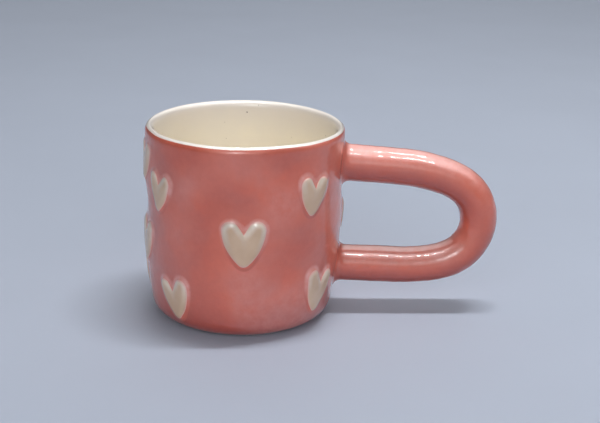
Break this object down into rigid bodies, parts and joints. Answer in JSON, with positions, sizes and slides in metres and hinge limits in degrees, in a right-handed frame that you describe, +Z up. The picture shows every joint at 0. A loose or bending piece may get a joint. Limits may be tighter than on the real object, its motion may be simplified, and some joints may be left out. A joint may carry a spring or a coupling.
{
  "type": "ceramic cup",
  "caption": "Glazed ceramic cup with a long round loop handle, a cream inside and rim, and raised cream hearts on a pink outside.",
  "frame": {"origin": "centre of the foot, on the plane that the cup stands on", "axes": "+Z up along the cup's axis, +X towards the handle, -Y towards the front heart"},
  "size_m": [0.1577, 0.089, 0.0857],
  "materials": {
    "bare_clay": "unglazed matte stoneware, bare on the foot",
    "cream_glaze": "gloss cream glaze",
    "pink_glaze": "gloss salmon pink glaze",
    "pink_sprig": "gloss salmon pink glaze over pressed clay"
  },
  "bodies": {
    "root": {"floor_slab": "bare_clay", "wall": "bare_clay", "seam_coil": "bare_clay", "liner_glaze": "cream_glaze", "outer_glaze": "pink_glaze", "handle": "bare_clay", "upper_luting": "bare_clay", "lower_luting": "bare_clay", "handle_glaze": "pink_glaze", "heart_front": "pink_sprig", "heart_front_right_top": "pink_sprig", "heart_front_right_bottom": "pink_sprig", "heart_right": "pink_sprig", "heart_back_right_top": "pink_sprig", "heart_back_right_bottom": "pink_sprig", "heart_back": "pink_sprig", "heart_back_left_top": "pink_sprig", "heart_back_left_bottom": "pink_sprig", "heart_left_back": "pink_sprig", "heart_left_bottom": "pink_sprig", "heart_left_top": "pink_sprig", "heart_left": "pink_sprig", "heart_front_left_top": "pink_sprig", "heart_front_left_bottom": "pink_sprig", "heart_front_glaze": "cream_glaze", "heart_front_right_top_glaze": "cream_glaze", "heart_front_right_bottom_glaze": "cream_glaze", "heart_right_glaze": "cream_glaze", "heart_back_right_top_glaze": "cream_glaze", "heart_back_right_bottom_glaze": "cream_glaze", "heart_back_glaze": "cream_glaze", "heart_back_left_top_glaze": "cream_glaze", "heart_back_left_bottom_glaze": "cream_glaze", "heart_left_back_glaze": "cream_glaze", "heart_left_bottom_glaze": "cream_glaze", "heart_left_top_glaze": "cream_glaze", "heart_left_glaze": "cream_glaze", "heart_front_left_top_glaze": "cream_glaze", "heart_front_left_bottom_glaze": "cream_glaze"}
  },
  "joints": []
}
